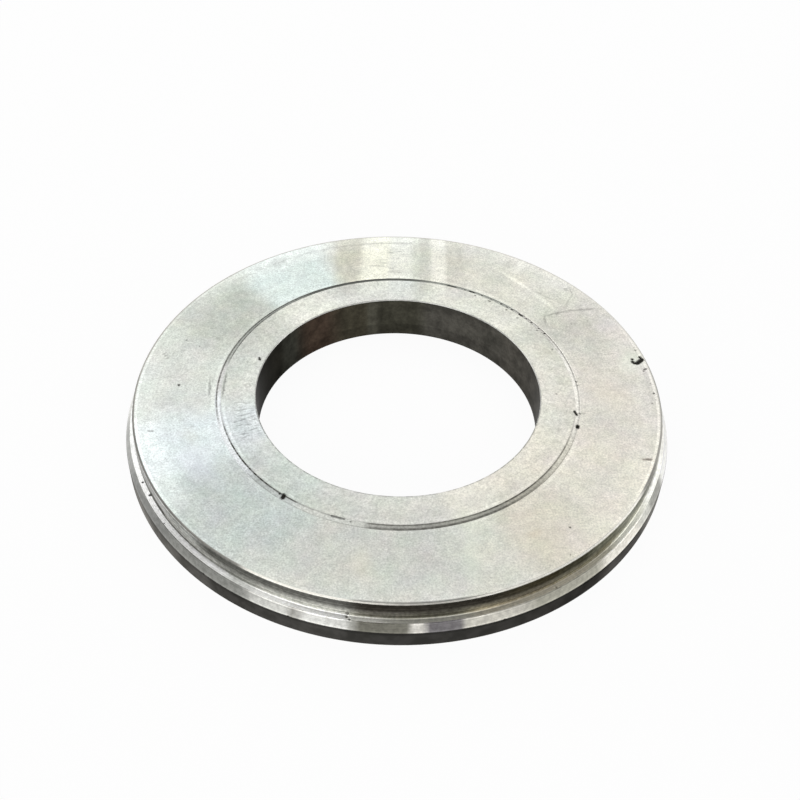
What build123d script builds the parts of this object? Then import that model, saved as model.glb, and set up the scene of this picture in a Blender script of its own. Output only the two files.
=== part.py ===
from build123d import *
import os

# Slip-on flange ring in steel, turned all round from one forging, before bolt holes are drilled.
# Millimetres. +Z runs along the pipe axis, out of the gasket face.
# The origin is on that axis, in the plane of the back face that the flange lies on.

# Diameters
bore_diameter = 173.0
raised_face_diameter = 215.0
turned_edge_diameter = 319.5

# Heights
rim_height = 11.5
rim_bevel_height = 5.5
turned_edge_height = 11.8
raised_face_height = 0.8

# Widths along the radius: the slope of the raised face, and how far the rim stands out
raised_face_bevel = 2.9
ledge_width = 3.25
rim_bevel_width = 2.5

# Corners broken at 45 degrees
face_edge_break = 0.6
bore_edge_break = 0.5
back_edge_break = 1.5

# Corner radii left by the turning tool
tool_nose_radius = 0.8
rim_corner_radius = 0.5

# Levels above the back face, worked out from the heights
ledge_level = rim_height + rim_bevel_height
flange_face_level = ledge_level + turned_edge_height
gasket_face_level = flange_face_level + raised_face_height

# Radii
bore_radius = bore_diameter / 2
raised_face_radius = raised_face_diameter / 2
bevel_foot_radius = raised_face_radius + raised_face_bevel
turned_edge_radius = turned_edge_diameter / 2
ledge_radius = turned_edge_radius + ledge_width
rim_radius = ledge_radius + rim_bevel_width


def half_section():
    """Half of the ring's section, in the XZ plane, to the right of the axis."""
    with BuildSketch(Plane.XZ) as section:
        with BuildLine():
            Polyline(
                (bore_radius, 0),
                (rim_radius, 0),
                (rim_radius, rim_height),
                (ledge_radius, ledge_level),
                (turned_edge_radius, ledge_level),
                (turned_edge_radius, flange_face_level),
                (bevel_foot_radius, flange_face_level),
                (raised_face_radius, gasket_face_level),
                (bore_radius, gasket_face_level),
                close=True,
            )
        make_face()
        break_corner(section, bore_radius, 0, bore_edge_break)
        break_corner(section, bore_radius, gasket_face_level, bore_edge_break)
        break_corner(section, rim_radius, 0, back_edge_break)
        break_corner(section, turned_edge_radius, flange_face_level, face_edge_break)
        round_corner(section, turned_edge_radius, ledge_level, tool_nose_radius)
        round_corner(section, ledge_radius, ledge_level, rim_corner_radius)
        round_corner(section, rim_radius, rim_height, rim_corner_radius)
    return section.sketch


def corner_at(section, radius, level):
    """The corner of the section at a radius and a level."""
    return section.vertices().sort_by_distance(Vector(radius, level))[0]


def break_corner(section, radius, level, size):
    """Cut one corner of the section off at 45 degrees."""
    chamfer(corner_at(section, radius, level), length=size)


def round_corner(section, radius, level, size):
    """Round one corner of the section."""
    fillet(corner_at(section, radius, level), radius=size)


def slip_on_flange():
    """The whole flange: the half section turned once round the pipe axis."""
    ring = revolve(half_section(), axis=Axis.Z)
    ring.label = "slip_on_flange"
    return ring


os.makedirs("parts", exist_ok=True)
export_step(slip_on_flange(), "parts/slip_on_flange.step")
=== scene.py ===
import math

import bmesh
import bpy
import numpy as np
from mathutils import Matrix, Vector


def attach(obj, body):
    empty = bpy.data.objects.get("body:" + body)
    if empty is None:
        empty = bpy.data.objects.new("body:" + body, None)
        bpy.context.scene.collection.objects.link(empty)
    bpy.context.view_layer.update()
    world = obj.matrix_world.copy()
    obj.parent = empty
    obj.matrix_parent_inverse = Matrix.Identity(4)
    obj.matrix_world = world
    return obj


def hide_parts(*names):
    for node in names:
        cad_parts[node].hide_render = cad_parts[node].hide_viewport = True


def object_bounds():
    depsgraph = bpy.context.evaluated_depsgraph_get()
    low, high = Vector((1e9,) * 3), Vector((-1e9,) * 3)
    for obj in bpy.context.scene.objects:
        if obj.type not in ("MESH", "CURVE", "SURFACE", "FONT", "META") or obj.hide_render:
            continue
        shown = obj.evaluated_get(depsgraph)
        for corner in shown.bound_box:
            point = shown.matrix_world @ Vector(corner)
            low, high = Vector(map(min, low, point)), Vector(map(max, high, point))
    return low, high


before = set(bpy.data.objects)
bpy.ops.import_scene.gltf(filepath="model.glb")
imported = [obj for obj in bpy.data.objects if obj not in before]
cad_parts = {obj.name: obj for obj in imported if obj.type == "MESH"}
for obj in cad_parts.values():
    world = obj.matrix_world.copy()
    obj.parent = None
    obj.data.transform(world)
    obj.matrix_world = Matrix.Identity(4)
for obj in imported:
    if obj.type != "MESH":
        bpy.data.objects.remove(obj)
cad_low, cad_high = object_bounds()

# Slip-on flange ring in turned steel. Metres, in the frame of the solid model:
# +Z out of the gasket face, origin on the pipe axis in the plane of the back face.
# Angles are in degrees round the axis, from +X towards +Y.
MM = 0.001

# Section of the ring
BORE_RADIUS = 86.5 * MM
RAISED_RADIUS = 107.5 * MM
STEP_FOOT_RADIUS = 110.4 * MM
TURNED_RADIUS = 159.75 * MM
LEDGE_RADIUS = 163.0 * MM
RIM_RADIUS = cad_high.x
RIM_LEVEL = 11.5 * MM
LEDGE_LEVEL = 17.0 * MM
GASKET_LEVEL = cad_high.z
FACE_LEVEL = GASKET_LEVEL - 0.8 * MM

# Corners broken at 45 degrees
BACK_BREAK = 1.5 * MM
FACE_BREAK = 0.6 * MM
BORE_BREAK = 0.5 * MM

# Fine groove that the tool left along the foot and the top of the raised face's step
GROOVE_DEPTH = 0.12 * MM
GROOVE_HALF_WIDTH = 0.25 * MM

# Mesh
SEGMENTS = 480
ARC_STEPS = 3
SUPPORT = 0.3 * MM
FINEST_EDGE = 0.24 * MM
# How far beyond a mark each round of refining reaches
REFINE_REACHES = (1.68 * MM, 1.2 * MM, 0.72 * MM)
# Ripples that make the border of a mark ragged, in radians per metre, and how far they move it
RIPPLES = ((5200.0, 3100.0, 900.0), (-2300.0, 6100.0, 1500.0))
RAGGED = 0.3
# How fast the dirt in a mark grows from its border
DIRT_GROWTH = 1.6

# Photograph's camera, worked out from the outlines of the ring
IMAGE_SIZE = 800
FOCAL_PIXELS = 1137.47
SENSOR = 36.0
CAMERA_ELEVATION = math.radians(43.743)
CAMERA_ROLL = math.radians(1.665)
CAMERA_DISTANCE = 0.6948
CAMERA_RIGHT = 1.105 * MM
CAMERA_UP = -5.24 * MM
AIM_LEVEL = 27.6 * MM
CLIP_START = 0.01

# Finishes, in the order of the material slots
FINISHES = ("face", "edge", "lip", "step", "bore", "turned_wall", "ledge", "bevel", "rim_wall", "back")

# Dirt that has settled in the dents, the dark tint of the lines along the step, and dirt in the line along
# the bore
DIRT = (0.02, 0.019, 0.016)
STEP_LINE_DARK = (0.06, 0.058, 0.05)
BORE_DIRT = (0.12, 0.118, 0.105)

# Limits that a noise seldom leaves
NOISE_LOW, NOISE_HIGH = 0.3, 0.7

# Tints by sector: first degree, softness of that border in degrees, tint
# Inner face: the steel's tint with painted reflections, the bright and dim fans of a turned face, by sector
FACE_SHEEN_SECTORS = (
    (0, 0, (0.555, 0.535, 0.485)),
    (18, 4, (0.52, 0.515, 0.465)),
    (36, 6, (0.595, 0.595, 0.53)),
    (112, 4, (0.63, 0.70, 0.67)),
    (137, 4, (0.455, 0.48, 0.435)),
    (163, 8, (0.56, 0.58, 0.54)),
    (191, 6, (0.60, 0.655, 0.66)),
    (212, 4, (0.46, 0.50, 0.48)),
    (246, 8, (0.495, 0.505, 0.468)),
    (288, 3, (0.55, 0.55, 0.495)),
    (299, 4, (0.545, 0.53, 0.46)),
    (319, 3, (0.59, 0.572, 0.505)),
    (341, 6, (0.555, 0.535, 0.485)),
)
# Outer face: the steel's tint with painted reflections, by sector
OUTER_SHEEN_SECTORS = (
    (0, 0, (0.57, 0.555, 0.515)),
    (40, 8, (0.615, 0.62, 0.57)),
    (110, 4, (0.72, 0.765, 0.74)),
    (134, 4, (0.575, 0.605, 0.555)),
    (148, 4, (0.52, 0.545, 0.50)),
    (160, 5, (0.58, 0.605, 0.56)),
    (174, 5, (0.62, 0.645, 0.615)),
    (193, 3, (0.68, 0.725, 0.72)),
    (211, 2.5, (0.62, 0.67, 0.645)),
    (219, 4, (0.487, 0.526, 0.497)),
    (240, 6, (0.54, 0.55, 0.507)),
    (286, 4, (0.545, 0.545, 0.49)),
    (300, 3, (0.55, 0.53, 0.465)),
    (311, 5, (0.63, 0.61, 0.54)),
    (342, 5, (0.605, 0.585, 0.53)),
)
# Raised face: the steel's tint with painted reflections, by sector
RAISED_SHEEN_SECTORS = (
    (0, 0, (0.57, 0.56, 0.505)),
    (18, 6, (0.55, 0.55, 0.49)),
    (38, 4, (0.615, 0.62, 0.555)),
    (82, 6, (0.575, 0.585, 0.545)),
    (118, 4, (0.665, 0.675, 0.61)),
    (140, 6, (0.50, 0.515, 0.47)),
    (168, 8, (0.535, 0.555, 0.515)),
    (190, 6, (0.565, 0.60, 0.60)),
    (212, 5, (0.487, 0.52, 0.487)),
    (246, 8, (0.517, 0.522, 0.484)),
    (288, 4, (0.60, 0.594, 0.53)),
    (302, 8, (0.59, 0.57, 0.505)),
    (342, 6, (0.565, 0.555, 0.50)),
)
# Radii between which the tints of the inner face change to those of the outer face, radii of the lip,
# and the radii and factors between which the raised face darkens outwards
OUTER_RADII = (137.0 * MM, 153.0 * MM)
LIP_RADII = (158.3 * MM, 158.7 * MM)
RAISED_TONE = (89.0 * MM, 105.0 * MM, 1.05, 0.965)
# Columns of light on the far side: first X in millimetres, softness of that border, factor on the tint.
# They begin and are full at two places on Y.
COLUMNS_DEPTH = (84.0 * MM, 112.0 * MM)
COLUMNS_FROM, COLUMNS_TO = -60.0, 60.0
COLUMNS = (
    (-60, 0, (1.0, 1.0, 1.0)),
    (-46, 4, (0.93, 0.92, 0.88)),
    (-28, 4, (1.29, 1.29, 1.25)),
    (-9, 3, (1.19, 1.21, 1.23)),
    (7, 2.5, (1.05, 1.08, 1.07)),
    (11.5, 2, (0.91, 0.93, 0.92)),
    (20, 2.4, (1.22, 1.21, 1.22)),
    (30, 2.4, (0.95, 0.94, 0.93)),
    (43, 4, (1.04, 1.03, 1.03)),
)
# Slope of the raised face: painted light and shade by sector, darkest on the far side
STEP_LIGHT_AND_SHADE = (
    (0, 0, (0.78, 0.76, 0.70)),
    (11, 3, (0.92, 0.90, 0.83)),
    (46, 6, (0.64, 0.66, 0.60)),
    (82, 6, (0.20, 0.21, 0.19)),
    (126, 6, (0.46, 0.48, 0.44)),
    (170, 4, (0.60, 0.60, 0.58)),
    (184, 3, (0.78, 0.81, 0.82)),
    (222, 3, (0.52, 0.55, 0.53)),
    (241, 3, (0.54, 0.55, 0.51)),
    (262, 1.5, (0.37, 0.37, 0.34)),
    (284, 6, (0.42, 0.42, 0.37)),
    (304, 4, (0.56, 0.54, 0.46)),
    (322, 5, (0.60, 0.58, 0.50)),
    (340, 5, (0.72, 0.70, 0.64)),
)
# Dark lines along the foot and the top of the step: first and last radius and softness in millimetres, and
# the
# # share of the dark tint by sector
FOOT_RING = (109.45, 110.55, 0.2)
TOP_RING = (107.0, 108.2, 0.2)
FOOT_LINE = (
    (0, 0, 0.38), (10, 4, 0.60), (34, 4, 0.45), (62, 3, 0.35), (69, 2, 0.80), (75, 2, 0.55),
    (82, 3, 0.84), (145, 5, 0.75), (182, 3, 0.72), (191, 3, 0.45), (198, 3, 0.0), (262.5, 1, 0.50),
    (270, 3, 0.66), (306, 4, 0.42), (318, 4, 0.05), (342, 4, 0.26),
)
TOP_LINE = (
    (0, 0, 0.0), (22, 5, 0.22), (36, 4, 0.0), (138, 4, 0.65), (168, 4, 0.05), (189, 4, 0.36),
    (199, 3, 0.78), (208, 3, 0.95), (228, 4, 0.80), (240, 2, 0.35), (254, 2, 0.05), (262.5, 1, 0.58),
    (296, 4, 0.75), (316, 4, 0.62), (338, 4, 0.30), (350, 4, 0.12),
)
# Bore wall: dark painted shade and reflections, by sector
BORE_SHADE_SECTORS = (
    (0, 0, (0.088, 0.082, 0.070)),
    (40, 5, (0.074, 0.070, 0.060)),
    (80, 4, (0.050, 0.048, 0.036)),
    (100, 1, (0.078, 0.075, 0.058)),
    (105, 1, (0.052, 0.047, 0.033)),
    (120, 6, (0.058, 0.041, 0.030)),
    (138, 5, (0.036, 0.036, 0.029)),
    (150, 3, (0.018, 0.017, 0.013)),
    (178, 6, (0.045, 0.042, 0.038)),
    (330, 20, (0.045, 0.042, 0.038)),
)
# Upper turned edge: painted shade by sector, with painted light on the left
WALL_TOP_LIGHT_AND_SHADE = (
    (0, 0, (0.24, 0.24, 0.225)),
    (186, 4, (0.60, 0.60, 0.57)),
    (202, 3, (1.0, 1.0, 0.95)),
    (219, 3, (0.64, 0.65, 0.61)),
    (229, 3, (0.17, 0.17, 0.155)),
    (262, 3, (0.045, 0.041, 0.034)),
    (292, 5, (0.070, 0.063, 0.043)),
    (304, 3, (0.100, 0.096, 0.072)),
    (312, 3, (0.28, 0.28, 0.22)),
    (321, 3, (0.50, 0.50, 0.43)),
    (333, 4, (0.57, 0.56, 0.50)),
    (350, 4, (0.30, 0.30, 0.28)),
)
# Foot of the turned edge: painted reflection of the ledge, by sector
WALL_FOOT_REFLECTION = (
    (0, 0, (0.80, 0.80, 0.75)),
    (194, 4, (0.68, 0.68, 0.64)),
    (206, 3, (0.46, 0.46, 0.43)),
    (217, 3, (0.84, 0.84, 0.78)),
    (235, 3, (0.44, 0.44, 0.41)),
    (254, 3, (0.52, 0.52, 0.48)),
    (263, 2, (0.23, 0.22, 0.19)),
    (273, 3, (0.14, 0.135, 0.11)),
    (286, 4, (0.52, 0.48, 0.38)),
    (302, 4, (0.84, 0.80, 0.62)),
    (320, 5, (0.90, 0.90, 0.79)),
    (333, 4, (0.98, 0.98, 0.92)),
)
# How far the middle of the turned edge is darkened, and from which level to which, with a softness
WALL_SHADE_LEVELS = (19.0 * MM, 23.6 * MM, 0.8 * MM)
WALL_SHADE = ((0, 0, 0.0), (286, 3, 0.47), (302, 3, 0.50), (326, 4, 0.0))
# Ledge: painted reflections, by sector
LEDGE_REFLECTION_SECTORS = (
    (0, 0, (0.80, 0.79, 0.75)),
    (182, 4, (0.86, 0.87, 0.85)),
    (198, 4, (0.98, 0.98, 0.96)),
    (237, 2, (0.72, 0.73, 0.69)),
    (243, 1.5, (0.98, 0.98, 0.94)),
    (262, 1, (0.97, 0.96, 0.88)),
    (269, 2, (0.66, 0.65, 0.57)),
    (285, 3, (0.72, 0.67, 0.54)),
    (310, 4, (0.57, 0.545, 0.44)),
    (319, 3, (0.80, 0.80, 0.70)),
    (332, 3, (0.96, 0.96, 0.90)),
    (345, 3, (0.82, 0.81, 0.76)),
)
# Feed marks of the ledge: slope outwards, height of their relief, and how far they lean by sector
LEDGE_SLOPE = -0.3
LEDGE_RELIEF = 0.00004
LEDGE_LEAN = ((0, 0, 0.5), (203, 3, 0.67), (213, 3, 0.87), (225, 3, 1.0), (329, 3, 0.45))
# Slope of the rim: painted reflections of the windows, by sector
BEVEL_REFLECTION_SECTORS = (
    (0, 0, (0.88, 0.88, 0.83)),
    (186, 4, (0.385, 0.39, 0.37)),
    (201, 4, (0.25, 0.252, 0.238)),
    (221, 3, (0.295, 0.297, 0.276)),
    (242.5, 1.5, (0.65, 0.65, 0.61)),
    (251.2, 0.5, (0.40, 0.39, 0.36)),
    (253.2, 0.5, (0.80, 0.80, 0.76)),
    (262.8, 1, (0.22, 0.215, 0.18)),
    (273.2, 0.5, (0.78, 0.76, 0.70)),
    (276.5, 0.5, (0.21, 0.20, 0.205)),
    (283.3, 0.8, (0.66, 0.64, 0.57)),
    (296.5, 2, (0.46, 0.45, 0.38)),
    (314, 1.5, (0.88, 0.85, 0.76)),
    (327, 1.5, (0.66, 0.66, 0.60)),
    (332.5, 1, (0.36, 0.36, 0.325)),
    (340.5, 1, (0.98, 0.98, 0.93)),
)
# Rim wall: dark tints of its skin and their factors by sector, both painted shade
RIM_WALL_SHADED_TINTS = ((0.30, 0.292, 0.268), (0.42, 0.405, 0.378))
RIM_WALL_SHADE_SECTORS = (
    (0, 0, 0.22), (186, 4, 0.8), (204, 3, 1.0), (214, 3, 0.60), (224, 3, 0.42), (234, 3, 0.22),
    (262, 3, 0.16), (314, 4, 0.35), (329, 4, 0.9),
)
# Changes of tone up a surface: first and last level, and the factor at each
BORE_FOOT = (8.6 * MM, 9.4 * MM, 0.8, 1.0)
# Painted highlights along the foot and the top of the rim's slope
BEVEL_FOOT_HIGHLIGHT = (12.1 * MM, 12.9 * MM, 1.25, 1.0)
BEVEL_TOP_HIGHLIGHT = (16.0 * MM, 16.7 * MM, 1.0, 1.12)
RIM_WALL_TOP = (9.8 * MM, 10.7 * MM, 1.0, 0.75)
# Hue and brightness, in painted highlights and shade, of the broken corner at the edge of the face, and of
# the lip of the face beside it
EDGE_HUE = (1.0, 0.975, 0.89)
EDGE_HIGHLIGHT_SECTORS = (
    (0, 0, 0.42), (12, 4, 0.60), (150, 8, 0.50), (178, 4, 0.32), (188, 3, 0.20), (222, 4, 0.26),
    (240.5, 1, 1.0), (262.5, 1, 0.95), (270, 3, 0.60), (286, 3, 1.0), (330.5, 2, 0.28), (340, 3, 0.50),
)
LIP_HIGHLIGHT_SECTORS = (
    (0, 0, 0.46), (10, 3, 0.58), (78, 8, 0.52), (108, 6, 0.44), (134, 5, 0.42), (160, 5, 0.35),
    (186, 3, 0.28), (196, 3, 0.14), (222, 4, 0.26), (240.5, 1, 0.80), (262.5, 1, 0.18), (273, 3, 0.10),
    (287, 3, 0.42), (320, 3, 0.60), (331, 2, 0.20), (349, 3, 0.38),
)
# How far painted highlights brighten the face along its edge, and the raised face along the step
EDGE_SHEEN = (
    (0, 0, 0.8), (22, 4, 0.15), (85, 8, 0.1), (140, 8, 0.5), (168, 4, 0.7), (216, 3, 0.5), (234, 3, 0.2),
    (262.5, 1, 0.3), (286, 3, 0.2), (328, 3, 0.8),
)
# Painted light and shade: a pale band inside the edge on the far side, the thin line beside it, and the
# dark line of the near edge
PALE_BAND = (
    (0, 0, 0.0), (44, 4, 0.4), (76, 4, 0.9), (91, 2, 0.5), (102, 2, 1.0), (114, 2, 0.6), (128, 3, 0.9),
    (141, 3, 0.0),
)
THIN_LINE = ((0, 0, 0.0), (89, 2, 1.0), (102, 2, 0.35), (126, 3, 0.0))
DARK_LINE = ((0, 0, 0.0), (263, 1, 0.8), (271, 3, 1.0), (285, 2, 0.0))
STEP_SHEEN = (
    (0, 0, 0.0), (189, 3, 0.8), (216, 4, 0.5), (240, 3, 0.2), (262, 2, 0.35), (286, 3, 0.5),
    (302, 3, 0.3), (318, 3, 0.4), (346, 4, 0.1),
)
# Painted highlight on the face beside the foot of the step
FOOT_SHEEN = (
    (0, 0, 0.3), (12, 3, 0.8), (24, 3, 0.1), (50, 4, 0.8), (76, 3, 0.5), (100, 5, 0.2), (144, 4, 0.6),
    (168, 4, 0.9), (192, 3, 0.0), (224, 3, 0.3), (240, 3, 0.0), (262, 2, 0.2), (284, 3, 0.4),
    (300, 4, 0.0), (316, 3, 0.9), (340, 4, 0.0),
)
# Those rings of painted light and shade: first and last radius and softness in millimetres, change of tone,
# share by sector
SHEEN_AND_SHADE_RINGS = (
    ((156.7, 158.2, 0.35), 0.30, EDGE_SHEEN),
    ((152.9, 157.8, 0.8), 0.12, PALE_BAND),
    ((150.4, 152.2, 0.5), -0.22, THIN_LINE),
    ((157.8, 158.7, 0.25), -0.5, DARK_LINE),
    ((111.2, 113.2, 0.5), 0.15, FOOT_SHEEN),
    ((105.1, 106.6, 0.35), 0.26, STEP_SHEEN),
)
# Short radial marks of the tool's chatter on the raised face, as a ring and by sector
CHATTER_RING = (88.5, 102.0, 1.0)
CHATTER_SECTORS = ((0, 0, 0.0), (192, 2, 1.0), (208, 2, 0.0))
# Strength of the uneven wear of the faces
WEAR = (
    (0, 0, 0.12), (30, 6, 0.20), (72, 5, 0.34), (140, 8, 0.30), (206, 8, 0.22), (232, 8, 0.0),
    (320, 8, 0.08),
)
# Dark thin line along the bore, and along the foot of the turned edge, with their radii and levels
BORE_LINE_RADII = (87.3 * MM, 87.6 * MM)
WALL_LINE_LEVELS = (17.3 * MM, 18.8 * MM, 0.4 * MM)
BORE_LINE = ((0, 0, 0.2), (18, 5, 0.0), (192, 5, 0.55), (338, 5, 0.3))
WALL_LINE = ((0, 0, 0.3), (190, 3, 0.6), (203, 3, 0.85), (232, 4, 0.35), (244, 3, 0.0), (331, 3, 0.5))

# Dents in the face: radius, depth, dirt, and the points of their line in millimetres
FACE_MARKS = (
    (1.15, 0.5, 1.0, (147.3, 34.6)),
    (1.25, 0.7, 1.0, (147.3, 32.4), (148.4, 31.0), (150.2, 30.9), (152.2, 33.0)),
    (1.6, 0.8, 1.0, (150.2, 31.4), (153.4, 34.6)),
    (1.1, 0.6, 1.0, (153.8, 34.8), (152.4, 36.9)),
    (0.8, 0.15, 0.6, (150.4, 43.6)),
    (0.6, 0.12, 0.4, (149.9, 46.4)),
    (0.8, 0.2, 0.7, (154.9, 26.0), (153.6, 25.2)),
    (0.7, 0.2, 0.7, (153.0, 23.8)),
    (0.85, 0.2, 0.8, (156.6, 3.6)),
    (0.75, 0.15, 0.5, (154.4, -5.2)),
    (0.6, 0.12, 0.5, (155.6, 12.4)),
    (0.5, 0.1, 0.45, (157.0, -2.0)),
    (0.65, 0.15, 0.5, (142.3, -52.6), (147.6, -52.3)),
    (0.9, 0.2, 0.6, (144.6, -52.4), (146.8, -52.4)),
    (1.6, 0.6, 1.0, (-61.9, -89.6), (-61.5, -88.4)),
    (0.9, 0.3, 0.85, (-63.9, -87.3)),
    (0.95, 0.3, 0.95, (-133.8, -1.2)),
    (0.95, 0.3, 0.95, (-87.5, 24.9), (-87.0, 23.3)),
    (0.8, 0.12, 0.4, (-94.2, 21.0)),
    (0.7, 0.12, 0.45, (-145.2, -41.0), (-142.4, -41.2)),
    (0.75, 0.25, 0.8, (95.8, -105.0)),
    (0.6, 0.15, 0.6, (94.3, -123.9)),
    (1.1, 0.4, 1.0, (106.3, -15.2), (107.3, -17.4)),
    (1.3, 0.45, 1.0, (107.1, -26.7), (106.9, -27.9)),
    (0.7, 0.2, 0.6, (109.6, -16.0)),
    (0.7, 0.2, 0.6, (109.8, 12.2)),
    (0.7, 0.2, 0.5, (110.4, 8.8)),
    (0.7, 0.2, 0.5, (96.5, -0.2)),
    (0.7, 0.15, 0.6, (97.2, 41.2)),
    (1.15, 0.25, 0.95, (31.6, 104.0), (34.2, 103.2), (36.4, 102.4)),
    (0.95, 0.25, 0.9, (42.6, 100.0)),
    (1.2, 0.25, 1.0, (46.2, 98.8), (48.6, 97.4)),
    (1.0, 0.25, 0.9, (54.2, 94.6)),
    (0.95, 0.25, 0.85, (60.2, 91.4)),
    (1.15, 0.3, 0.95, (66.6, 86.0)),
    (1.0, 0.25, 0.95, (70.4, 82.9)),
    (1.15, 0.3, 1.0, (73.5, 80.4)),
    (1.2, 0.3, 1.0, (78.2, 76.0), (79.7, 74.2)),
    (0.95, 0.25, 0.9, (82.5, 71.6)),
    (1.05, 0.25, 1.0, (85.6, 67.9)),
    (0.9, 0.2, 0.9, (90.0, 62.0)),
    (1.05, 0.25, 1.0, (93.4, 57.1)),
    (0.7, 0.15, 0.75, (49.5, 93.6)),
    (0.7, 0.15, 0.7, (58.3, 88.4), (59.4, 87.9)),
    (0.75, 0.15, 0.75, (69.6, 79.6)),
    (0.65, 0.15, 0.7, (76.4, 71.5)),
    (0.7, 0.15, 0.75, (88.6, 59.3)),
    (0.6, 0.12, 0.5, (-23.6, -106.0)),
    (0.8, 0.15, 0.55, (-34.0, -102.4), (-27.4, -104.4)),
    (0.75, 0.15, 0.5, (-135.6, 40.6)),
    (0.7, 0.15, 0.5, (-126.5, 35.2)),
)
# Nicks and scores on the rim: radius, depth, dirt, and the points of their line as angle, radius and level
RIM_MARKS = (
    (0.9, 0.4, 0.9, (261.8, 160.9, 17.0)),
    (0.7, 0.35, 0.8, (262.4, 162.2, 17.0)),
    (0.8, 0.35, 0.9, (206.1, 160.9, 17.0)),
    (0.9, 0.35, 0.9, (210.1, 160.3, 17.0)),
    (0.6, 0.1, 0.8, (210.8, 159.75, 21.2), (212.6, 159.75, 20.2), (217.0, 159.75, 19.6)),
    (0.7, 0.3, 0.7, (218.4, 162.2, 17.0)),
    (0.7, 0.3, 0.6, (302.5, 161.9, 17.0)),
    (0.9, 0.4, 0.5, (251.0, 165.5, 11.6)),
    (1.0, 0.4, 0.5, (232.0, 165.5, 11.4)),
    (0.9, 0.35, 0.5, (291.0, 165.5, 11.6)),
    (1.0, 0.4, 0.6, (72.0, 165.5, 8.5)),
    (1.2, 0.3, 0.6, (148.0, 165.5, 6.0)),
)

# How far the border of a stain is frayed
FRAY = 2 * MM
# Stains and scratches on the face: centre, half length and half width in millimetres, turn, strength
# (a negative strength is a lighter place), softness of the border
STAINS = (
    (-8.0, 139.5, 2.2, 1.1, 0, 0.30, 0.5),
    (-2.5, 141.5, 1.2, 0.7, 0, 0.25, 0.5),
    (-5.0, 118.5, 4.5, 2.0, 0, 0.26, 0.6),
    (-16.0, 124.0, 6.5, 0.8, -4, 0.26, 0.5),
    (-13.0, 127.5, 8.0, 0.6, 3, 0.16, 0.5),
    (-7.0, 122.0, 2.0, 0.8, 0, 0.20, 0.5),
    (-21.0, 142.0, 8.0, 6.5, 0, -0.08, 0.8),
    (-37.5, 126.0, 7.0, 8.0, 10, 0.06, 0.8),
    (-86.0, 125.5, 7.0, 4.0, 38, 0.15, 0.7),
    (-98.0, 117.0, 3.0, 2.0, 50, 0.18, 0.6),
    (-18.0, 95.0, 4.5, 3.0, 0, -0.05, 0.8),
    (12.0, 98.0, 5.0, 8.0, 0, 0.06, 0.8),
    (66.0, 116.5, 4.0, 8.0, -40, 0.06, 0.8),
    (77.5, 112.2, 10.0, 1.5, -46, -0.22, 0.7),
    (94.2, 92.5, 13.0, 1.4, -52, -0.20, 0.7),
    (81.5, 128.0, 3.0, 7.0, -35, -0.12, 0.8),
    (96.0, 96.5, 9.0, 0.8, -36, 0.16, 0.7),
    (72.5, 128.0, 2.2, 5.0, -30, 0.10, 0.8),
    (111.0, 104.0, 1.7, 1.4, 0, 0.26, 0.5),
    (114.3, 102.8, 4.4, 0.5, -80, 0.20, 0.5),
    (112.0, 92.3, 6.9, 0.6, 64, 0.18, 0.5),
    (102.7, 78.2, 8.9, 1.0, 20, 0.30, 0.6),
    (120.5, 82.8, 9.7, 0.9, 9.6, 0.30, 0.6),
    (94.75, 70.5, 4.6, 0.8, -87, 0.26, 0.6),
    (105.0, 64.0, 20.0, 17.0, 0, 0.05, 0.9),
    (121.0, 63.0, 1.2, 0.6, 30, 0.15, 0.5),
    (124.0, 67.0, 1.0, 0.7, 0, 0.15, 0.5),
    (122.5, 71.0, 1.3, 0.6, 50, 0.13, 0.5),
    (126.0, 73.0, 0.9, 0.6, 0, 0.13, 0.5),
    (127.0, 39.0, 1.6, 0.5, 5, 0.15, 0.5),
    (131.4, 38.4, 1.7, 0.5, 0, 0.15, 0.5),
    (135.0, 39.6, 1.1, 0.5, 0, 0.13, 0.5),
    (145.0, 31.0, 10.0, 6.5, 70, -0.10, 0.8),
    (154.4, 12.0, 10.0, 1.4, 86, 0.10, 0.8),
    (118.0, 26.0, 16.0, 6.0, 70, 0.04, 0.8),
    (96.0, -31.0, 1.3, 0.8, 20, 0.20, 0.5),
    (110.0, -70.0, 22.0, 8.0, 50, 0.03, 0.9),
    (16.0, -131.0, 5.5, 19.0, 0, 0.05, 0.9),
    (-115.5, 43.0, 3.2, 1.4, -20, 0.20, 0.6),
    (-121.0, 35.5, 2.5, 1.4, 10, 0.17, 0.6),
    (-136.0, 30.0, 1.6, 0.8, 20, 0.20, 0.6),
    (-147.3, 27.2, 1.6, 0.55, 52, 0.34, 0.5),
    (-146.0, 25.2, 1.6, 0.55, 52, 0.34, 0.5),
    (-144.7, 23.4, 1.4, 0.5, 52, 0.30, 0.5),
    (-141.6, 27.8, 1.3, 0.5, 52, 0.24, 0.5),
    (-127.0, -32.0, 1.5, 0.7, 10, 0.20, 0.6),
    (-120.0, -36.5, 1.5, 0.8, 0, 0.22, 0.6),
    (-114.8, -2.4, 8.2, 0.7, -84.5, 0.34, 0.5),
    (-116.3, -2.4, 7.6, 0.5, -84.5, -0.12, 0.6),
    (-106.0, 0.0, 10.5, 0.6, 90, 0.46, 0.5),
    (-92.0, -0.6, 2.1, 1.9, 0, 0.24, 0.45),
    (-91.8, -0.6, 1.0, 0.9, 0, -0.34, 0.5),
    (-92.5, -16.0, 4.5, 0.5, 0, 0.26, 0.5),
    (-142.0, -52.0, 27.0, 9.0, -70, -0.06, 0.9),
)
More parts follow.
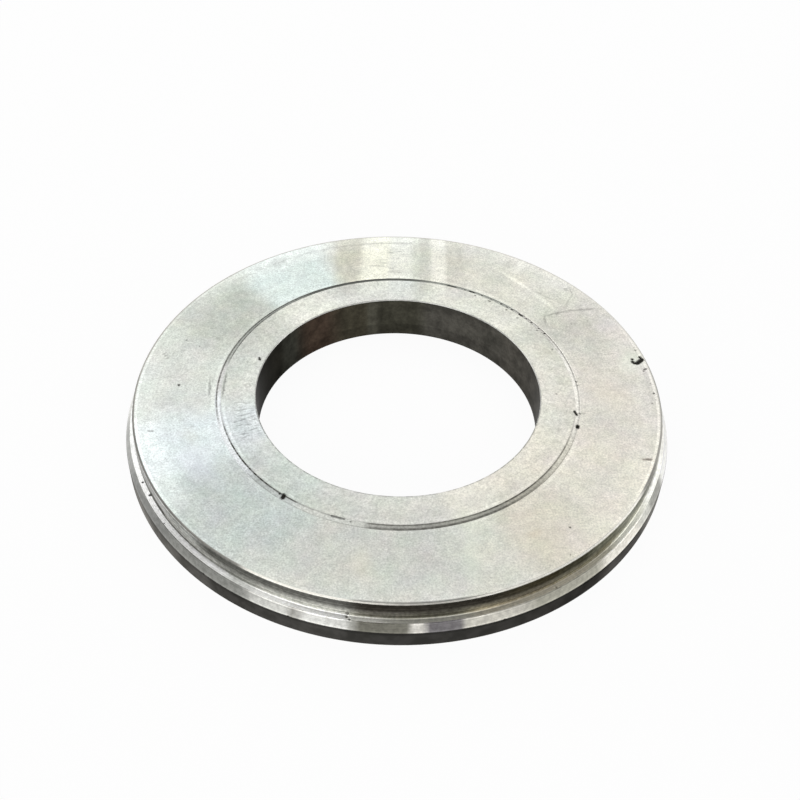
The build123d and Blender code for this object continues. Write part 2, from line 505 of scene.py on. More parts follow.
# Places with a hue of their own: tint, then rows as above
HUES = (
    ((0.34, 0.19, 0.11), (
        (72.0, -97.0, 6.0, 2.6, 20, 0.06, 0.8),
        (76.0, -110.0, 4.0, 2.0, 20, 0.13, 0.7),
        (144.8, -52.4, 3.2, 1.2, 0, 0.2, 0.6),
    )),
    ((0.62, 0.52, 0.40), (
        (79.0, -112.0, 17.0, 12.0, -35, 0.16, 0.9),
        (128.0, 4.0, 14.0, 9.0, 80, 0.14, 0.9),
    )),
    ((0.70, 0.66, 0.46), (
        (-17.0, -133.0, 5.5, 8.0, 0, 0.20, 0.8),
        (-120.0, -44.0, 7.0, 4.0, -60, 0.12, 0.9),
    )),
    ((0.60, 0.70, 0.56), (
        (41.5, -125.0, 4.5, 22.0, 0, 0.20, 0.9),
        (146.0, 32.0, 10.0, 6.5, 70, 0.25, 0.8),
    )),
    ((0.62, 0.62, 0.72), (
        (-110.0, -68.0, 14.0, 7.0, -55, 0.25, 0.9),
        (36.0, 95.0, 7.0, 5.0, -20, 0.15, 0.9),
    )),
)

# Large soft lamps: azimuth and elevation of their centre, distance, width, height, brightness
LAMPS = {
    "far_window": (90, 45, 1.8, 2.5, 1.15, 1.2),
    "roof_window": (115, 75, 1.8, 1.7, 0.7, 1.1),
    "side_window": (160, 25, 1.8, 0.9, 0.8, 1.2),
    "east_window": (5, 20, 1.8, 0.7, 1.1, 1.5),
    "left_window": (236.4, 25, 1.6, 1.0, 0.95, 2.0),
    "right_window": (298.4, 20, 1.6, 0.38, 0.7, 2.0),
    "slit_window": (277.9, 20, 1.6, 0.14, 0.7, 2.5),
}
ROOM_LIGHT = 0.37

# Floor: half its side, drop below the ring, tint, and the share of white in what the camera sees of it
FLOOR_HALF = 40.0
FLOOR_DROP = 0.05 * MM
FLOOR_TINT = (0.88, 0.88, 0.88, 1.0)
FLOOR_WHITE = 0.95


def polar(angle, radius, level):
    """Point on the ring from an angle in degrees, a radius and a level."""
    turn = math.radians(angle)
    return Vector((radius * math.cos(turn), radius * math.sin(turn), level))


# Section and lathe


def section_corners():
    """Corners of the half section: finish of the run that ends there, place, rounding, longest edge."""
    foot = STEP_FOOT_RADIUS + GROOVE_HALF_WIDTH
    top = RAISED_RADIUS - GROOVE_HALF_WIDTH
    return (
        ("back", RIM_RADIUS - BACK_BREAK, 0.0, 0.2 * MM, 12 * MM),
        ("lip", RIM_RADIUS, BACK_BREAK, 0.3 * MM, 2 * MM),
        ("rim_wall", RIM_RADIUS, RIM_LEVEL, 0.5 * MM, 2.4 * MM),
        ("bevel", LEDGE_RADIUS, LEDGE_LEVEL, 0.4 * MM, 1.8 * MM),
        ("ledge", TURNED_RADIUS, LEDGE_LEVEL, 0.6 * MM, 1.8 * MM),
        ("turned_wall", TURNED_RADIUS, FACE_LEVEL - FACE_BREAK, 0.2 * MM, 2.4 * MM),
        ("edge", TURNED_RADIUS - FACE_BREAK, FACE_LEVEL, 0.25 * MM, 2 * MM),
        ("face", foot + GROOVE_HALF_WIDTH, FACE_LEVEL, 0.05 * MM, 4 * MM),
        ("step", foot, FACE_LEVEL - GROOVE_DEPTH, 0.05 * MM, 2 * MM),
        ("step", STEP_FOOT_RADIUS, FACE_LEVEL, 0.05 * MM, 2 * MM),
        ("step", RAISED_RADIUS, GASKET_LEVEL - 0.05 * MM, 0.08 * MM, 1.5 * MM),
        ("step", top + GROOVE_HALF_WIDTH / 2, GASKET_LEVEL, 0.05 * MM, 2 * MM),
        ("face", BORE_RADIUS + BORE_BREAK, GASKET_LEVEL, 0.15 * MM, 4 * MM),
        ("lip", BORE_RADIUS, GASKET_LEVEL - BORE_BREAK, 0.15 * MM, 2 * MM),
        ("bore", BORE_RADIUS, BORE_BREAK, 0.1 * MM, 4 * MM),
        ("lip", BORE_RADIUS + BORE_BREAK, 0.0, 0.1 * MM, 2 * MM),
    )


def run_points(start, end, longest):
    """Points between the ends of a straight run, with one near each end to keep the shading flat."""
    length = (end - start).length
    stops = [0.0, length]
    if length > 4 * SUPPORT:
        stops = [0.0, SUPPORT, length - SUPPORT, length]
        middle = length - 2 * SUPPORT
        count = math.ceil(middle / longest)
        stops[2:2] = [SUPPORT + middle * step / count for step in range(1, count)]
    return [start.lerp(end, stop / length) for stop in stops[1:-1]]


def arc_points(before, corner, after, rounding):
    """Points of the rounded corner between two straight runs."""
    first = corner + (before - corner).normalized() * rounding
    last = corner + (after - corner).normalized() * rounding
    points = []
    for step in range(ARC_STEPS + 1):
        t = step / ARC_STEPS
        points.append(first.lerp(corner, t).lerp(corner.lerp(last, t), t))
    return points


def half_section():
    """Closed outline of the half section, and the finish of the run that ends at each of its points."""
    corners = section_corners()
    places = [Vector((radius, level)) for _, radius, level, _, _ in corners]
    arcs = []
    for index, (_, _, _, rounding, _) in enumerate(corners):
        after = places[(index + 1) % len(places)]
        arcs.append(arc_points(places[index - 1], places[index], after, rounding))
    outline, finishes = [], []
    for index, (finish, _, _, _, longest) in enumerate(corners):
        run = run_points(arcs[index - 1][-1], arcs[index][0], longest)
        outline += run + arcs[index]
        finishes += [finish] * (len(run) + len(arcs[index]))
    return outline, finishes


def lathe(name):
    """The ring as one closed mesh, turned from the half section."""
    outline, finishes = half_section()
    count = len(outline)
    turns = [2 * math.pi * step / SEGMENTS for step in range(SEGMENTS)]
    vertices = [
        (point.x * math.cos(turn), point.x * math.sin(turn), point.y) for turn in turns for point in outline
    ]
    faces, slots = [], []
    for step in range(SEGMENTS):
        here, there = step * count, (step + 1) % SEGMENTS * count
        for index in range(count):
            after = (index + 1) % count
            faces.append((here + index, there + index, there + after, here + after))
            slots.append(FINISHES.index(finishes[after]))
    mesh = bpy.data.meshes.new(name)
    mesh.from_pydata(vertices, [], faces)
    mesh.polygons.foreach_set("material_index", slots)
    mesh.polygons.foreach_set("use_smooth", [True] * len(faces))
    ring = bpy.data.objects.new(name, mesh)
    bpy.context.scene.collection.objects.link(ring)
    return ring


# Marks in the surface: each is a dent along a line, with the dirt that has settled in it


class Mark:
    """A pit, nick or gouge along a line of points."""

    def __init__(self, points, radius, depth, dirt):
        self.points = np.array([tuple(point) for point in points])
        self.radius = radius * MM
        self.depth = depth * MM
        self.dirt = dirt

    def distance(self, places):
        """Distance of each place from the mark's line."""
        nearest = np.linalg.norm(places - self.points[0], axis=1)
        for start, end in zip(self.points[:-1], self.points[1:]):
            along = end - start
            share = np.clip((places - start) @ along / (along @ along), 0, 1)
            here = np.linalg.norm(places - start - share[:, None] * along, axis=1)
            nearest = np.minimum(nearest, here)
        return nearest


def on_face(x, y):
    """Point on the flange face, on the step or on the raised face from a place in millimetres."""
    up_slope = (STEP_FOOT_RADIUS - math.hypot(x, y) * MM) / (STEP_FOOT_RADIUS - RAISED_RADIUS)
    rise = min(max(up_slope, 0.0), 1.0) * (GASKET_LEVEL - FACE_LEVEL)
    return Vector((x * MM, y * MM, FACE_LEVEL + rise))


def all_marks():
    """Every mark that the surface has."""
    marks = []
    for radius, depth, dirt, *places in FACE_MARKS:
        marks.append(Mark([on_face(*place) for place in places], radius, depth, dirt))
    for radius, depth, dirt, *places in RIM_MARKS:
        points = [polar(angle, out * MM, level * MM) for angle, out, level in places]
        marks.append(Mark(points, radius, depth, dirt))
    return marks


def refine(ring, marks):
    """Cut the faces near each mark into smaller ones."""
    work = bmesh.new()
    work.from_mesh(ring.data)
    for reach in REFINE_REACHES:
        work.faces.ensure_lookup_table()
        centres = np.array([tuple(face.calc_center_median()) for face in work.faces])
        near = np.zeros(len(centres), bool)
        for mark in marks:
            near |= mark.distance(centres) < mark.radius + reach
        edges = set()
        for index in np.flatnonzero(near):
            edges.update(edge for edge in work.faces[index].edges if edge.calc_length() > FINEST_EDGE)
        bmesh.ops.subdivide_edges(work, edges=list(edges), cuts=1, use_grid_fill=True)
    work.to_mesh(ring.data)
    work.free()


def dent(ring, marks):
    """Press the marks into the surface and keep the dirt of each point in the mesh."""
    mesh = ring.data
    places = np.zeros(len(mesh.vertices) * 3)
    mesh.vertices.foreach_get("co", places)
    places = places.reshape(-1, 3)
    normals = np.zeros(len(mesh.vertices) * 3)
    mesh.vertices.foreach_get("normal", normals)
    normals = normals.reshape(-1, 3)
    depth = np.zeros(len(places))
    dirt = np.zeros(len(places))
    ripple = np.sin(places @ np.array(RIPPLES[0])) * np.sin(places @ np.array(RIPPLES[1]))
    for mark in marks:
        share = mark.distance(places) / (mark.radius * (1 + RAGGED * ripple))
        bowl = np.clip(1 - share**2, 0, 1)
        depth = np.maximum(depth, mark.depth * bowl)
        dirt = np.maximum(dirt, mark.dirt * np.clip(DIRT_GROWTH * bowl, 0, 1))
    places -= normals * depth[:, None]
    mesh.vertices.foreach_set("co", places.ravel())
    attribute = mesh.attributes.new("dirt", "FLOAT", "POINT")
    attribute.data.foreach_set("value", dirt)
    mesh.update()


# Materials


class Finish:
    """A node material while it is put together."""

    def __init__(self, name, **settings):
        self.material = bpy.data.materials.new(name)
        self.material.use_nodes = True
        self.tree = self.material.node_tree
        self.shader = self.tree.nodes["Principled BSDF"]
        self.set(**{"Metallic": 1.0, **settings})
        self.place = self.node("TexCoord").outputs["Object"]
        parts = self.node("SeparateXYZ")
        self.feed(parts.inputs[0], self.place)
        self.x, self.y, self.level = parts.outputs
        squares = self.maths("MULTIPLY", self.x, self.x), self.maths("MULTIPLY", self.y, self.y)
        self.radius = self.maths("SQRT", self.maths("ADD", *squares))
        self.turn = self.maths("ARCTAN2", self.y, self.x)
        self.share = self.maths("WRAP", self.maths("DIVIDE", self.turn, 2 * math.pi), 1.0, 0.0)

    def set(self, **settings):
        """Set sockets of the shader by name, with _ for a space."""
        for name, value in settings.items():
            self.feed(self.shader.inputs[name.replace("_", " ")], value)

    def node(self, kind, **settings):
        """A new node with its settings."""
        made = self.tree.nodes.new("ShaderNode" + kind)
        for name, value in settings.items():
            setattr(made, name, value)
        return made

    def feed(self, socket, value):
        """Give a socket a link, a colour or a number."""
        if isinstance(value, bpy.types.NodeSocket):
            self.tree.links.new(value, socket)
        elif isinstance(value, tuple) and len(value) == 3 and socket.type == "RGBA":
            socket.default_value = (*value, 1.0)
        else:
            socket.default_value = value

    def maths(self, operation, *values):
        """Result of one sum on numbers."""
        made = self.node("Math", operation=operation)
        for socket, value in zip(made.inputs, values):
            self.feed(socket, value)
        return made.outputs[0]

    def ramp(self, value, low, high, at_low=0.0, at_high=1.0, course="SMOOTHSTEP"):
        """Change from at_low to at_high while value goes from low to high."""
        made = self.node("MapRange", interpolation_type=course, clamp=course == "LINEAR")
        for socket, given in zip(made.inputs, (value, low, high, at_low, at_high)):
            self.feed(socket, given)
        return made.outputs[0]

    def mix(self, share, first, second, blend="MIX"):
        """Blend of two colours."""
        made = self.node("Mix", data_type="RGBA", blend_type=blend, clamp_factor=True)
        self.feed(made.inputs[0], share)
        self.feed(made.inputs[6], first)
        self.feed(made.inputs[7], second)
        return made.outputs[2]

    def shade(self, colour, amount):
        """A colour times a number."""
        made = self.node("VectorMath", operation="SCALE")
        self.feed(made.inputs[0], colour)
        self.feed(made.inputs["Scale"], amount)
        return made.outputs[0]

    def noise(self, place, scale, detail=2.0, roughness=0.5, output=0):
        """Cloudy values about a half, or cloudy colours from output 1."""
        made = self.node("TexNoise")
        self.feed(made.inputs["Vector"], place)
        made.inputs["Scale"].default_value = scale
        made.inputs["Detail"].default_value = detail
        made.inputs["Roughness"].default_value = roughness
        return made.outputs[output]

    def point(self, x, y, z):
        """A vector from three values."""
        made = self.node("CombineXYZ")
        for socket, value in zip(made.inputs, (x, y, z)):
            self.feed(socket, value)
        return made.outputs[0]

    def band(self, value, low, high, softness):
        """1 while value is between two limits, 0 outside."""
        up = self.ramp(value, low - softness, low + softness)
        down = self.ramp(value, high - softness, high + softness, 1.0, 0.0)
        return self.maths("MULTIPLY", up, down)

    def stretched(self, first, first_scale, second, second_scale):
        """Place for a noise that is drawn out along one way."""
        scaled = self.maths("MULTIPLY", first, first_scale), self.maths("MULTIPLY", second, second_scale)
        return self.point(*scaled, 0.0)

    def ring(self, low, high, softness):
        """1 on a ring between two radii in millimetres, 0 beside it."""
        return self.band(self.radius, low * MM, high * MM, softness * MM)

    def around(self, sectors):
        """Colour or number by sector about the axis, as in the tables above."""
        return self.steps(self.share, 0.0, 360.0, sectors, sectors[0][2])

    def steps(self, share, low, high, rows, end=None):
        """Colour or number by rows that start between low and high, from a share of that range.

        A table that runs round the axis gives its first tint as the end too, to close without a seam.
        """
        ramp = self.node("ValToRGB")
        ramp.color_ramp.interpolation = "EASE"
        stops = ramp.color_ramp.elements
        previous = self.tint(rows[0][2])
        stops[0].color = previous
        stops[1].color = self.tint(rows[-1][2] if end is None else end)
        for start, softness, tint in rows[1:]:
            stops.new((start - softness - low) / (high - low)).color = previous
            previous = self.tint(tint)
            stops.new((start + softness - low) / (high - low)).color = previous
        self.feed(ramp.inputs[0], share)
        return ramp.outputs[0]

    def tint(self, value):
        """A colour or a grey, with its opacity."""
        return (*value, 1.0) if isinstance(value, tuple) else (value, value, value, 1.0)

    def dirtied(self, colour):
        """A colour with the dirt that the mesh keeps."""
        return self.mix(self.node("Attribute", attribute_name="dirt").outputs["Fac"], colour, DIRT)

    def grained(self, colour, grain, darkest, lightest):
        """A colour that is dark and light with a noise."""
        return self.shade(colour, self.ramp(grain, NOISE_LOW, NOISE_HIGH, darkest, lightest))

    def bump(self, height, strength, distance):
        """Fine relief of the surface."""
        made = self.node("Bump")
        self.feed(made.inputs["Height"], height)
        self.feed(made.inputs["Strength"], strength)
        made.inputs["Distance"].default_value = distance
        self.feed(self.shader.inputs["Normal"], made.outputs[0])

    def turned(self, anisotropic):
        """Gloss drawn out across the grooves of the turning tool."""
        tangent = self.node("Tangent", direction_type="RADIAL", axis="Z")
        self.set(Anisotropic=anisotropic, Anisotropic_Rotation=0.25, Tangent=tangent.outputs[0])

    def rings(self, scale, detail=3.0):
        """Fine rings about the axis, as a turning tool leaves them."""
        return self.noise(self.point(self.radius, self.level, 0.0), scale, detail)

    def both(self, x, x_factor, y, y_factor):
        """Two values, each times its factor, added up."""
        return self.maths("MULTIPLY_ADD", x, x_factor, self.maths("MULTIPLY", y, y_factor))

    def ellipse(self, x, y, centre_x, centre_y, length, width, turn):
        """Distance from the centre of an ellipse, which is 1 on its border."""
        cos, sin = math.cos(math.radians(turn)), math.sin(math.radians(turn))
        x = self.maths("SUBTRACT", x, centre_x * MM)
        y = self.maths("SUBTRACT", y, centre_y * MM)
        along = self.both(x, cos / (length * MM), y, sin / (length * MM))
        across = self.both(x, -sin / (width * MM), y, cos / (width * MM))
        return self.maths("SQRT", self.both(along, along, across, across))

    def stains(self, rows):
        """Sum of the strengths of soft ragged ellipses on the face.

        Plain numbers take less of the renderer's space for one material than vectors do.
        """
        fray = self.node("SeparateXYZ")
        self.feed(fray.inputs[0], self.noise(self.place, 450.0, 2.0, output=1))
        x = self.maths("MULTIPLY_ADD", fray.outputs[0], FRAY, self.maths("SUBTRACT", self.x, FRAY / 2))
        y = self.maths("MULTIPLY_ADD", fray.outputs[1], FRAY, self.maths("SUBTRACT", self.y, FRAY / 2))
        total = 0.0
        for *ellipse, strength, softness in rows:
            size = self.ellipse(x, y, *ellipse)
            total = self.maths("ADD", total, self.ramp(size, 1 - softness, 1 + softness, strength, 0.0))
        return total


def cloudy(made, colour, share):
    """A colour with soft cloudy changes of hue and tone, and a crisper mottle."""
    colour = made.mix(share, colour, made.noise(made.place, 60.0, 3.0, 0.55, output=1), "OVERLAY")
    patches = made.noise(made.place, 120.0, 3.0, 0.6)
    colour = made.grained(colour, patches, 0.96, 1.04)
    mottle = made.noise(made.place, 330.0, 4.0, 0.62)
    return made.shade(colour, made.ramp(mottle, 0.42, 0.58, 0.945, 1.055))


def speckled(made, colour, grain):
    """A colour with the fine light and dark grain of the turned steel."""
    colour = made.shade(colour, made.ramp(grain, 0.28, 0.72, 0.76, 1.20))
    flecks = made.noise(made.place, 560.0, 3.0, 0.7)
    colour = made.shade(colour, made.ramp(flecks, 0.60, 0.68, 1.0, 0.82))
    return made.shade(colour, made.ramp(flecks, 0.34, 0.41, 1.12, 1.0))


def chatter(made):
    """Short radial marks on the raised face, left by the tool's chatter."""
    along = made.stretched(made.radius, 120.0, made.turn, 62.0)
    stripes = made.ramp(made.noise(along, 1.0, 2.0, 0.6), 0.50, 0.64)
    there = made.maths("MULTIPLY", made.around(CHATTER_SECTORS), made.ring(*CHATTER_RING))
    return made.maths("MULTIPLY", stripes, there)


def columns(made, colour):
    """A colour with the columns of light that the far side reflects."""
    across = made.ramp(made.x, COLUMNS_FROM * MM, COLUMNS_TO * MM, course="LINEAR")
    halves = [(start, soft, tuple(value / 2 for value in tint)) for start, soft, tint in COLUMNS]
    light = made.steps(across, COLUMNS_FROM, COLUMNS_TO, halves)
    lit = made.shade(made.mix(1.0, colour, light, "MULTIPLY"), 2.0)
    return made.mix(made.ramp(made.y, *COLUMNS_DEPTH), colour, lit)


def face_colour(made):
    """Tint of the turned faces, by zone and by sector, with painted reflections and rings of painted
    highlight and shade.
    """
    raised = made.ramp(made.radius, RAISED_RADIUS, RAISED_RADIUS + 0.4 * MM, 1.0, 0.0)
    outer = made.ramp(made.radius, *OUTER_RADII)
    colour = made.mix(outer, made.around(FACE_SHEEN_SECTORS), made.around(OUTER_SHEEN_SECTORS))
    tone = made.ramp(made.radius, *RAISED_TONE)
    colour = columns(made, made.mix(raised, colour, made.shade(made.around(RAISED_SHEEN_SECTORS), tone)))
    # Rings of painted highlight and shade
    for ring, change, sectors in SHEEN_AND_SHADE_RINGS:
        there = made.maths("MULTIPLY", made.ring(*ring), made.around(sectors))
        colour = made.shade(colour, made.maths("MULTIPLY_ADD", there, change, 1.0))
    return colour


def worn(made, colour):
    """A colour with the uneven wear and the fine pores of the faces."""
    patches = made.maths("SUBTRACT", made.noise(made.place, 260.0, 5.0, 0.72), 0.5)
    pores = made.ramp(made.noise(made.place, 520.0, 2.0, 0.6), 0.66, 0.72)
    patches = made.maths("SUBTRACT", patches, made.maths("MULTIPLY", pores, 0.55))
    return made.shade(colour, made.maths("MULTIPLY_ADD", patches, made.around(WEAR), 1.0))


def stained(made, colour):
    """A colour with stains, scratches and chatter marks, and with the places of another hue."""
    wear = made.maths("ADD", made.stains(STAINS), made.maths("MULTIPLY", chatter(made), 0.4))
    colour = made.shade(colour, made.maths("SUBTRACT", 1.0, wear))
    for tint, rows in HUES:
        colour = made.mix(made.stains(rows), colour, tint)
    return colour


def bordered(made, colour):
    """A colour with the painted highlights of the lip at the edge of the face, and the broken dark line
    along the bore.
    """
    lip = made.ramp(made.radius, *LIP_RADII)
    colour = made.mix(lip, colour, made.mix(1.0, made.around(LIP_HIGHLIGHT_SECTORS), EDGE_HUE, "MULTIPLY"))
    broken = made.ramp(made.noise(made.place, 260.0, 3.0), 0.40, 0.52)
    line = made.maths("MULTIPLY", made.ramp(made.radius, *BORE_LINE_RADII, 1.0, 0.0), broken)
    return made.mix(made.maths("MULTIPLY", line, made.around(BORE_LINE)), colour, BORE_DIRT)


def face_finish():
    """Turned faces: pale steel with a fine grain, tints by sector with painted reflections, stains and
    scratches.
    """
    made = Finish("turned_face", Roughness=0.4)
    made.turned(0.35)
    grain = made.noise(made.place, 900.0, 4.0, 0.65)
    colour = speckled(made, cloudy(made, worn(made, face_colour(made)), 0.06), grain)
    colour = made.shade(colour, made.ramp(made.rings(700.0), 0.35, 0.65, 0.985, 1.015))
    colour = made.dirtied(bordered(made, stained(made, colour)))
    made.set(Base_Color=colour, Roughness=made.ramp(grain, NOISE_LOW, NOISE_HIGH, 0.34, 0.46))
    height = made.maths("ADD", made.rings(2500.0), made.maths("MULTIPLY", grain, 1.2))
    made.bump(height, 0.2, 0.0002)
    return made.material


def edge_finish():
    """Broken corner at the edge of the face, bright or dark by sector in painted highlights and shade."""
    made = Finish("face_edge", Roughness=0.34, Metallic=0.35)
    made.turned(0.4)
    grain = made.noise(made.place, 500.0, 4.0, 0.65)
    colour = made.mix(1.0, made.around(EDGE_HIGHLIGHT_SECTORS), EDGE_HUE, "MULTIPLY")
    made.set(Base_Color=made.dirtied(made.grained(colour, grain, 0.85, 1.12)))
    made.bump(grain, 0.15, 0.0002)
    return made.material


def lip_finish():
    """Broken corners of the bore and of the back, rubbed bright."""
    made = Finish("worn_corner", Roughness=0.3, Metallic=0.6)
    made.turned(0.4)
    grain = made.noise(made.place, 500.0, 4.0, 0.65)
    colour = made.mix(made.ramp(grain, 0.35, 0.65), (0.66, 0.66, 0.62), (0.86, 0.86, 0.82))
    made.set(Base_Color=made.dirtied(colour))
    made.bump(grain, 0.15, 0.0002)
    return made.material


def step_line(made, ring, shares):
    """Dark line that follows the step, a little uneven along its way."""
    along = made.stretched(made.turn, 30.0, made.radius, 200.0)
    uneven = made.ramp(made.noise(along, 1.6, 3.0), 0.35, 0.62, 0.72, 1.15)
    there = made.maths("MULTIPLY", made.around(shares), uneven)
    return made.maths("MULTIPLY", there, made.ring(*ring))


def step_finish():
    """Slope of the raised face, in painted light and shade by sector, with dark lines along its foot and
    its top.
    """
    made = Finish("raised_step", Roughness=0.3)
    made.turned(0.4)
    grain = made.noise(made.place, 800.0, 4.0, 0.65)
    colour = speckled(made, made.around(STEP_LIGHT_AND_SHADE), grain)
    foot = step_line(made, FOOT_RING, FOOT_LINE)
    top = step_line(made, TOP_RING, TOP_LINE)
    colour = made.mix(made.maths("MAXIMUM", foot, top), colour, STEP_LINE_DARK)
    made.set(Base_Color=made.dirtied(colour))
    made.bump(made.rings(3000.0), 0.15, 0.0002)
    return made.material


def bore_finish():
    """Bore wall, dark brown-grey in painted shade and reflection by sector, streaked, and darker towards
    the bottom.
    """
    made = Finish("bored_wall", Roughness=0.42, Specular_Tint=(0.5, 0.5, 0.5))
    made.turned(0.5)
    streaks = made.noise(made.stretched(made.turn, 9.0, made.level, 90.0), 1.0, 4.0, 0.6)
    colour = made.grained(made.around(BORE_SHADE_SECTORS), streaks, 0.7, 1.3)
    colour = made.shade(colour, made.ramp(made.level, *BORE_FOOT))
    grain = made.noise(made.place, 500.0, 3.0, 0.6)
    made.set(Base_Color=made.grained(colour, grain, 0.85, 1.15))
    made.bump(made.rings(900.0), 0.2, 0.0003)
    return made.material


def turned_wall_finish():
    """Turned edge: a painted reflection of the ledge makes it bright near the ledge, painted shade dark
    above it, by sector, with a dark line along its foot.
    """
    made = Finish("turned_edge_wall", Roughness=0.32, Specular_Tint=(0.3, 0.3, 0.3))
    made.turned(0.5)
    grain = made.noise(made.place, 500.0, 4.0, 0.6)
    height = made.ramp(made.level, LEDGE_LEVEL, FACE_LEVEL)
    share = made.ramp(height, 0.12, 0.62)
    colour = made.mix(share, made.around(WALL_FOOT_REFLECTION), made.around(WALL_TOP_LIGHT_AND_SHADE))
    line = made.maths("MULTIPLY", made.band(made.level, *WALL_LINE_LEVELS), made.around(WALL_LINE))
    colour = made.shade(colour, made.maths("MULTIPLY_ADD", line, -0.8, 1.0))
    shade = made.maths("MULTIPLY", made.band(made.level, *WALL_SHADE_LEVELS), made.around(WALL_SHADE))
    colour = made.shade(colour, made.maths("SUBTRACT", 1.0, shade))
    colour = made.grained(made.grained(colour, grain, 0.72, 1.28), made.rings(900.0), 0.68, 1.32)
    made.set(Base_Color=made.dirtied(colour))
    made.bump(made.rings(1500.0), 0.25, 0.0003)
    return made.material


def ledge_finish():
    """Ledge below the turned edge, bright and dim by sector in painted reflections, with feed marks that
    lean outwards and catch the light from above.
    """
    made = Finish("ledge", Roughness=0.34)
    made.turned(0.5)
    grain = made.noise(made.place, 500.0, 4.0, 0.6)
    colour = made.grained(made.around(LEDGE_REFLECTION_SECTORS), grain, 0.86, 1.12)
    made.set(Base_Color=made.dirtied(made.grained(colour, made.rings(1400.0), 0.88, 1.08)))
    lean = made.maths("MULTIPLY", made.radius, LEDGE_SLOPE)
    height = made.maths("MULTIPLY_ADD", made.rings(2500.0), LEDGE_RELIEF, lean)
    made.bump(height, made.around(LEDGE_LEAN), 1.0)
    return made.material


def bevel_finish():
    """Slope of the rim, turned, with painted reflections by sector, fine lines round it and painted
    highlights at its corners.
    """
    made = Finish("rim_bevel", Roughness=0.3)
    made.turned(0.6)
    grain = made.noise(made.place, 400.0, 4.0, 0.6)
    colour = made.grained(made.around(BEVEL_REFLECTION_SECTORS), grain, 0.82, 1.15)
    colour = made.grained(colour, made.rings(1100.0), 0.85, 1.12)
    colour = made.shade(colour, made.ramp(made.level, *BEVEL_FOOT_HIGHLIGHT))
    colour = made.shade(colour, made.ramp(made.level, *BEVEL_TOP_HIGHLIGHT))
    made.set(Base_Color=made.dirtied(colour))
    made.bump(made.rings(2000.0), 0.2, 0.0002)
    return made.material


def rim_wall_finish():
    """Rim wall, dark in painted shade that changes by sector, darkest below the slope."""
    made = Finish("rim_wall", Roughness=0.5, Specular_Tint=(0.3, 0.3, 0.3))
    made.turned(0.3)
    skin = made.noise(made.place, 120.0, 4.0, 0.6)
    colour = made.mix(made.ramp(skin, 0.35, 0.65), *RIM_WALL_SHADED_TINTS)
    colour = made.shade(colour, made.around(RIM_WALL_SHADE_SECTORS))
    colour = made.shade(colour, made.ramp(made.level, *RIM_WALL_TOP))
    made.set(Base_Color=made.dirtied(colour))
    made.bump(skin, 0.3, 0.0005)
    return made.material


def back_finish():
    """Back face, turned plain."""
    made = Finish("turned_back", Roughness=0.42)
    made.turned(0.5)
    grain = made.noise(made.place, 700.0, 4.0, 0.6)
    colour = speckled(made, cloudy(made, (0.56, 0.56, 0.525), 0.12), grain)
    made.set(Base_Color=colour)
    made.bump(made.rings(1800.0), 0.2, 0.0003)
    return made.material


def ring_piece():
    """The whole ring with its finishes."""
    ring = lathe("flange_ring")
    marks = all_marks()
    refine(ring, marks)
    dent(ring, marks)
    makers = (
        face_finish, edge_finish, lip_finish, step_finish, bore_finish,
        turned_wall_finish, ledge_finish, bevel_finish, rim_wall_finish, back_finish,
    )
    for maker in makers:
        ring.data.materials.append(maker())
    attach(ring, "root")
    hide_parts("slip_on_flange")


# Studio


def floor_material():
    """Pale matt floor that rays from the camera, mirrored and passing ones too, see almost white."""
    material = bpy.data.materials.new("pale_floor")
    material.use_nodes = True
    nodes, links = material.node_tree.nodes, material.node_tree.links
    nodes.remove(nodes["Principled BSDF"])
    diffuse = nodes.new("ShaderNodeBsdfDiffuse")
    diffuse.inputs["Color"].default_value = FLOOR_TINT
    white = nodes.new("ShaderNodeEmission")
    path = nodes.new("ShaderNodeLightPath")
    seen = path.outputs["Is Camera Ray"]
    for ray in ("Is Glossy Ray", "Is Transmission Ray"):
        more = nodes.new("ShaderNodeMath")
        more.operation = "ADD"
        links.new(seen, more.inputs[0])
        links.new(path.outputs[ray], more.inputs[1])
        seen = more.outputs[0]
    share = nodes.new("ShaderNodeMath")
    share.operation = "MULTIPLY"
    share.inputs[1].default_value = FLOOR_WHITE
    blend = nodes.new("ShaderNodeMixShader")
    links.new(seen, share.inputs[0])
    for socket, output in zip(blend.inputs, (share.outputs[0], diffuse.outputs[0], white.outputs[0])):
        links.new(output, socket)
    links.new(blend.outputs[0], nodes["Material Output"].inputs["Surface"])
    return material


def floor():
    """Pale floor that looks white and keeps the ring's shadow."""
    mesh = bpy.data.meshes.new("floor")
    sides = (-FLOOR_HALF, FLOOR_HALF)
    corners = [(x, y, 0) for y in sides for x in sides]
    mesh.from_pydata(corners, [], [(0, 1, 3, 2)])
    mesh.materials.append(floor_material())
    plane = bpy.data.objects.new("floor", mesh)
    plane.location.z = -FLOOR_DROP
    bpy.context.scene.collection.objects.link(plane)


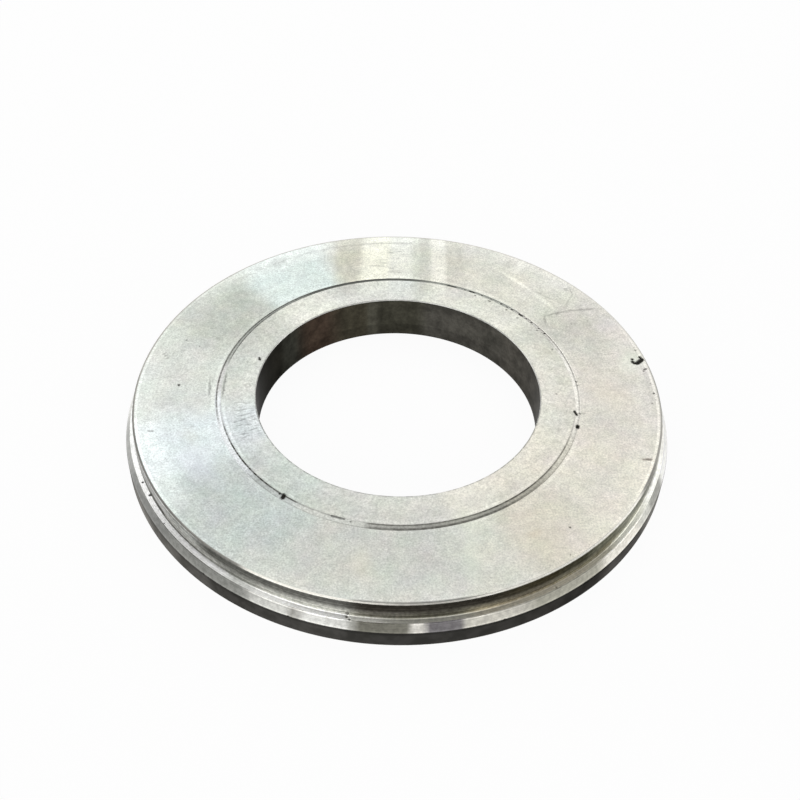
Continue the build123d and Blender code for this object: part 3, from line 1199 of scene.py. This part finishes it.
def lamp(name, azimuth, elevation, distance, width, height, radiance):
    """Soft rectangular lamp that faces the ring from a direction, with a given brightness."""
    data = bpy.data.lights.new(name, "AREA")
    data.shape = "RECTANGLE"
    data.size, data.size_y = width, height
    data.energy = radiance * math.pi * width * height
    made = bpy.data.objects.new(name, data)
    a, e = math.radians(azimuth), math.radians(elevation)
    made.location = Vector((math.cos(a) * math.cos(e), math.sin(a) * math.cos(e), math.sin(e))) * distance
    made.rotation_mode = "QUATERNION"
    made.rotation_quaternion = (-made.location).to_track_quat("-Z", "Y")
    bpy.context.scene.collection.objects.link(made)


def studio_light():
    """Even light from all round, with large soft lamps."""
    world = bpy.data.worlds.new("studio")
    world.use_nodes = True
    background = world.node_tree.nodes["Background"]
    background.inputs["Color"].default_value = (ROOM_LIGHT, ROOM_LIGHT, ROOM_LIGHT, 1.0)
    bpy.context.scene.world = world
    for name, settings in LAMPS.items():
        lamp(name, *settings)


def camera():
    """Camera at the photograph's viewing angle."""
    sin_el, cos_el = math.sin(CAMERA_ELEVATION), math.cos(CAMERA_ELEVATION)
    forward = Vector((0, cos_el, -sin_el))
    level_right, level_up = Vector((1, 0, 0)), Vector((0, sin_el, cos_el))
    right = math.cos(CAMERA_ROLL) * level_right + math.sin(CAMERA_ROLL) * level_up
    up = math.cos(CAMERA_ROLL) * level_up - math.sin(CAMERA_ROLL) * level_right
    data = bpy.data.cameras.new("camera")
    data.sensor_fit = "HORIZONTAL"
    data.sensor_width = SENSOR
    data.lens = FOCAL_PIXELS * SENSOR / IMAGE_SIZE
    data.clip_start = CLIP_START
    made = bpy.data.objects.new("camera", data)
    place = Vector((0, 0, AIM_LEVEL)) - CAMERA_DISTANCE * forward + CAMERA_RIGHT * right + CAMERA_UP * up
    axes = Matrix((right, up, -forward)).transposed()
    made.matrix_world = Matrix.Translation(place) @ axes.to_4x4()
    bpy.context.scene.collection.objects.link(made)
    bpy.context.scene.camera = made


camera()
floor()
studio_light()
ring_piece()
bpy.context.scene.view_settings.view_transform = "Standard"
